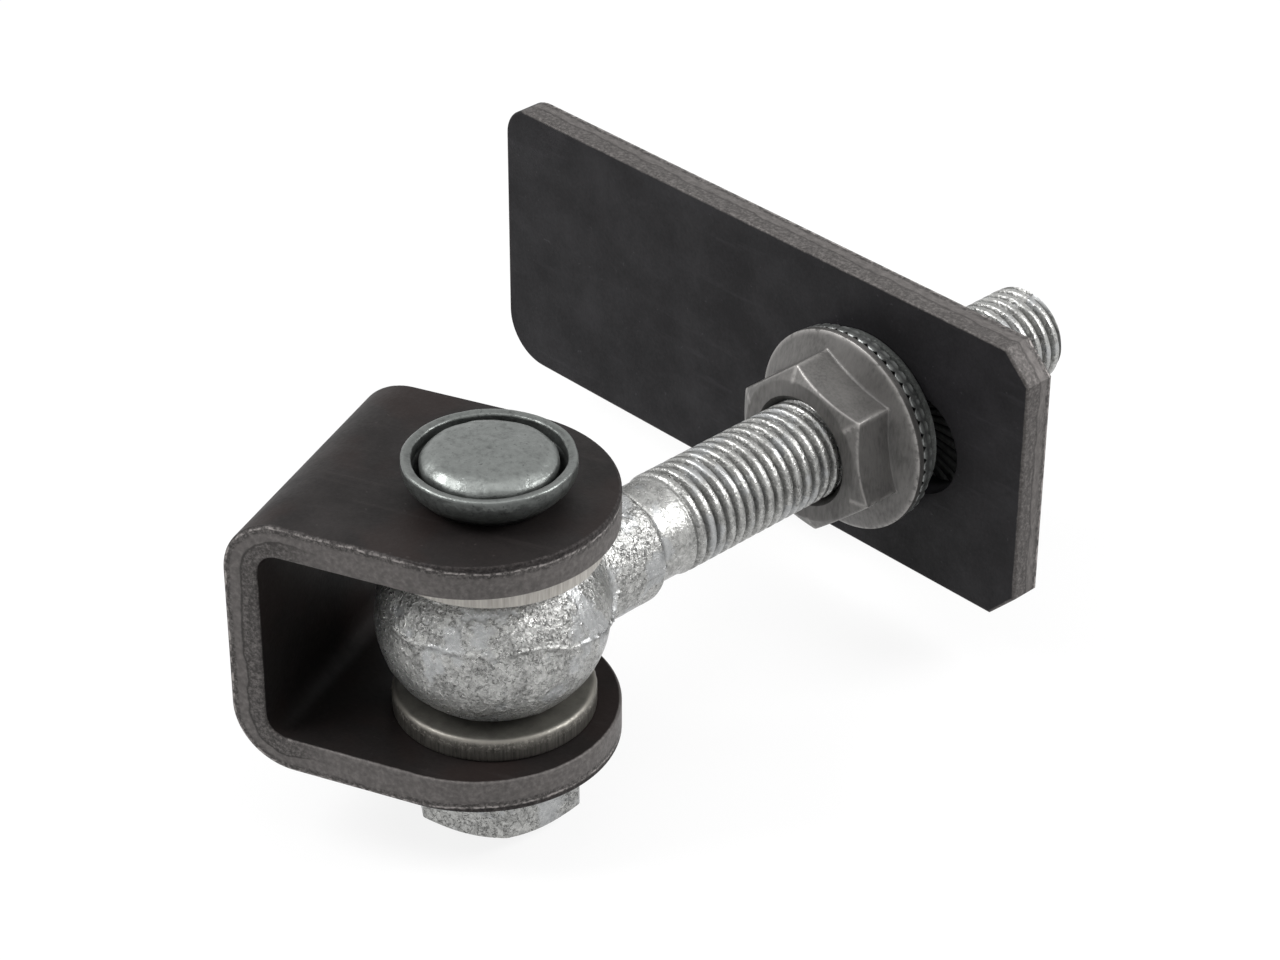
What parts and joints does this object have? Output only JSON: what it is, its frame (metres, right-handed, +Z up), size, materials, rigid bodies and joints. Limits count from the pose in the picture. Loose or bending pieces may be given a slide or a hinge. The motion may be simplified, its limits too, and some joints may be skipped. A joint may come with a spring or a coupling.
{
  "type": "adjustable gate hinge",
  "caption": "Weld-on gate hinge: a folded bracket and pin hold a ball-ended threaded eye bolt, on which flange nuts clamp a slotted weld plate.",
  "frame": {"origin": "centre of the bracket web's outer face, which is welded to the post", "axes": "+X from the post outwards through the bracket, +Z up along the pivot pin, Y across the bracket's bar width; at rest the eye bolt points 67.5 degrees from +X towards +Y"},
  "size_m": [0.1597, 0.1922, 0.0912],
  "materials": {
    "bracket_steel": "mill scale",
    "plate_steel": "mill scale",
    "galvanised_forging": "hot-dip galvanised, rough",
    "pin_steel": "galvanised, dull",
    "washer_steel": "zinc, dull",
    "nut_steel": "satin",
    "lock_washer_steel": "satin, dark"
  },
  "bodies": {
    "bracket": {"u_bracket": "bracket_steel", "pivot_pin": "pin_steel", "head_cup_washer": "pin_steel", "upper_washer": "washer_steel", "lower_washer": "washer_steel", "pivot_nut": "galvanised_forging"},
    "eye": {"eye_bolt": "galvanised_forging"},
    "carriage": {"front_lock_washer": "lock_washer_steel", "rear_lock_washer": "lock_washer_steel"},
    "front_nut": {"front_flange_nut": "nut_steel"},
    "rear_nut": {"rear_flange_nut": "nut_steel"},
    "turner": {"slot_washer": "washer_steel"},
    "plate": {"weld_plate": "plate_steel"}
  },
  "joints": [
    {"name": "gate_swing", "type": "hinge", "parent": "bracket", "child": "eye", "pos_m": [0.047, 0, 0], "axis": [0, 0, 1], "range_deg": [-192.5, 57.5]},
    {"name": "reach_adjust", "type": "slide", "parent": "eye", "child": "carriage", "axis": [0.3827, 0.9239, 0], "range_m": [-0.04, 0.025]},
    {"name": "front_nut_turn", "type": "hinge", "parent": "carriage", "child": "front_nut", "pos_m": [0.0845, 0.09054, 0], "axis": [0.3827, 0.9239, 0], "range_deg": [-4805, 3005]},
    {"name": "rear_nut_turn", "type": "hinge", "parent": "carriage", "child": "rear_nut", "pos_m": [0.0979, 0.12288, 0], "axis": [0.3827, 0.9239, 0], "range_deg": [-4805, 3005]},
    {"name": "plate_turn", "type": "hinge", "parent": "carriage", "child": "turner", "pos_m": [0.09024, 0.1044, 0], "axis": [0.3827, 0.9239, 0], "continuous": true},
    {"name": "slot_adjust", "type": "slide", "parent": "turner", "child": "plate", "axis": [0.9239, -0.3827, 0], "range_m": [-0.015, 0.015]}
  ],
  "couplings": [
    {"joint": "front_nut_turn", "follows": "reach_adjust", "rad_per_m": 2094.4},
    {"joint": "rear_nut_turn", "follows": "reach_adjust", "rad_per_m": 2094.4}
  ]
}
